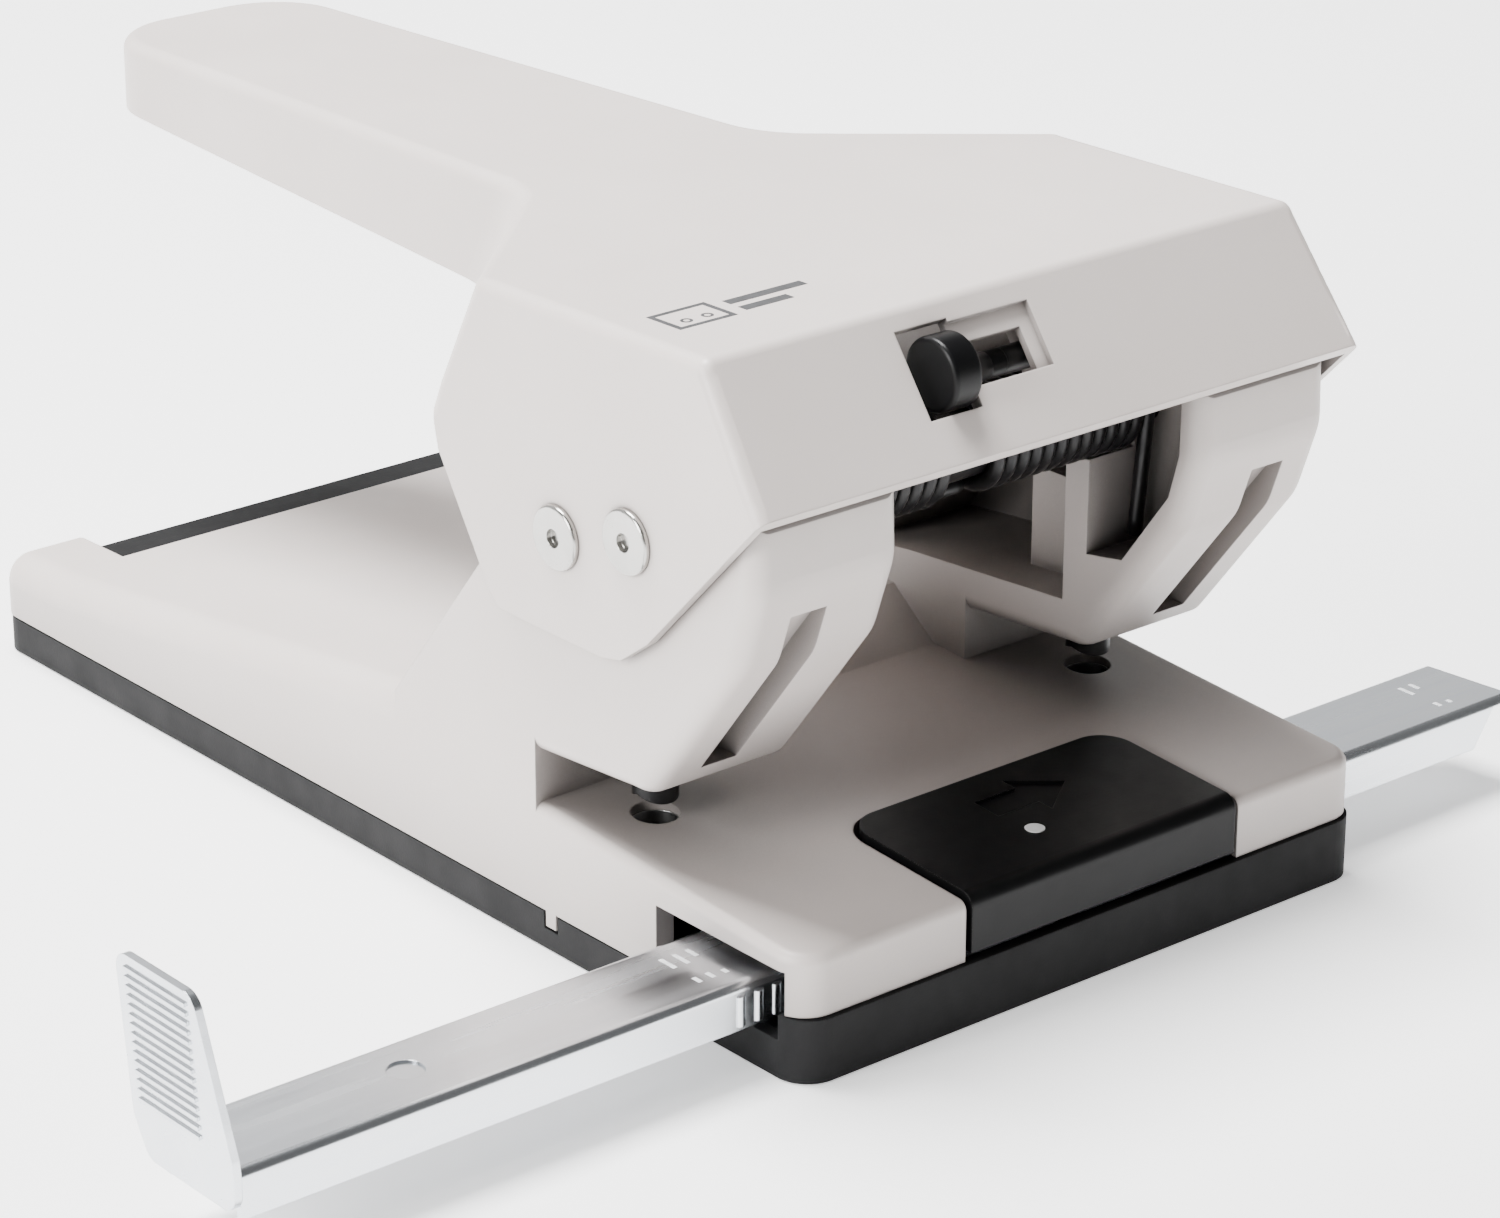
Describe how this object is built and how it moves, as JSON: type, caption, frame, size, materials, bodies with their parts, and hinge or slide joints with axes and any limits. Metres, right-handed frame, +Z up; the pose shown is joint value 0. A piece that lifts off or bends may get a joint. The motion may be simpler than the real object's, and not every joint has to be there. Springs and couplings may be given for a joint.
{
  "type": "two-hole punch",
  "caption": "Desk hole punch with a long sheet-metal lever over a C-shaped base, sprung punches, sliding paper guide, release key and chip tray.",
  "frame": {"origin": "on the resting plane, under the middle of the line between the two punches", "axes": "+X to the right seen from the front, along the paper guide; +Y back towards the handle end; +Z up"},
  "size_m": [0.2269, 0.2107, 0.0942],
  "materials": {
    "ivory_paint": "semi-gloss stoved enamel with a fine orange peel",
    "dark_tray": "fine matt moulded grain",
    "black_plastic": "satin",
    "white_mark": "matt",
    "zinc_bar": "bright zinc plate, lightly scratched",
    "zinc_shaft": "bright zinc plate",
    "black_steel": "black oxide, satin",
    "bright_steel": "ground",
    "black_sleeve": "matt"
  },
  "bodies": {
    "base": {"base_body": "ivory_paint", "pivot_shaft": "zinc_shaft", "spring_sleeve": "black_sleeve", "torsion_spring": "black_steel", "punch_die_left": "bright_steel", "punch_die_right": "bright_steel", "punch_bush_left": "bright_steel", "punch_bush_right": "bright_steel", "guide_saddle": "zinc_bar", "saddle_screws": "zinc_shaft", "release_spring": "black_steel", "release_pin": "zinc_shaft"},
    "lever": {"lever": "ivory_paint", "drive_shaft": "zinc_shaft", "drive_shaft_tube": "bright_steel"},
    "left_punch": {"punch_left": "black_steel"},
    "right_punch": {"punch_right": "black_steel"},
    "paper_guide": {"guide_bar": "zinc_bar", "guide_stop": "zinc_bar", "stop_rivet": "zinc_bar"},
    "release_key": {"guide_release": "black_plastic", "centre_mark": "white_mark"},
    "tray": {"chip_tray": "dark_tray"},
    "lock": {"lock_knob": "black_plastic", "lock_rod": "zinc_shaft"}
  },
  "joints": [
    {"name": "lever_press", "type": "hinge", "parent": "base", "child": "lever", "pos_m": [0, -0.0115, 0.0666], "axis": [-1, 0, 0], "range_deg": [0, 20], "stiffness_Nm_per_rad": 1.2, "springref_deg": -34.38},
    {"name": "punch_left_stroke", "type": "slide", "parent": "base", "child": "left_punch", "axis": [0, 0, -1], "range_m": [0, 0.0048]},
    {"name": "punch_right_stroke", "type": "slide", "parent": "base", "child": "right_punch", "axis": [0, 0, -1], "range_m": [0, 0.0048]},
    {"name": "guide_slide", "type": "slide", "parent": "base", "child": "paper_guide", "axis": [1, 0, 0], "range_m": [-0.015, 0.058]},
    {"name": "release_press", "type": "hinge", "parent": "base", "child": "release_key", "pos_m": [0, -0.0204, 0.0156], "axis": [1, 0, 0], "range_deg": [0, 2.3], "stiffness_Nm_per_rad": 0.6, "springref_deg": -6.88, "deforming": ["release_spring"]},
    {"name": "tray_drop", "type": "slide", "parent": "base", "child": "tray", "axis": [0, 0, -1], "range_m": [0, 0.022]},
    {"name": "lock_slide", "type": "slide", "parent": "lever", "child": "lock", "axis": [1, 0, 0], "range_m": [-0.0028, 0]}
  ],
  "couplings": [
    {"joint": "punch_left_stroke", "follows": "lever_press", "m_per_rad": 0.013728},
    {"joint": "punch_right_stroke", "follows": "lever_press", "m_per_rad": 0.013728}
  ]
}
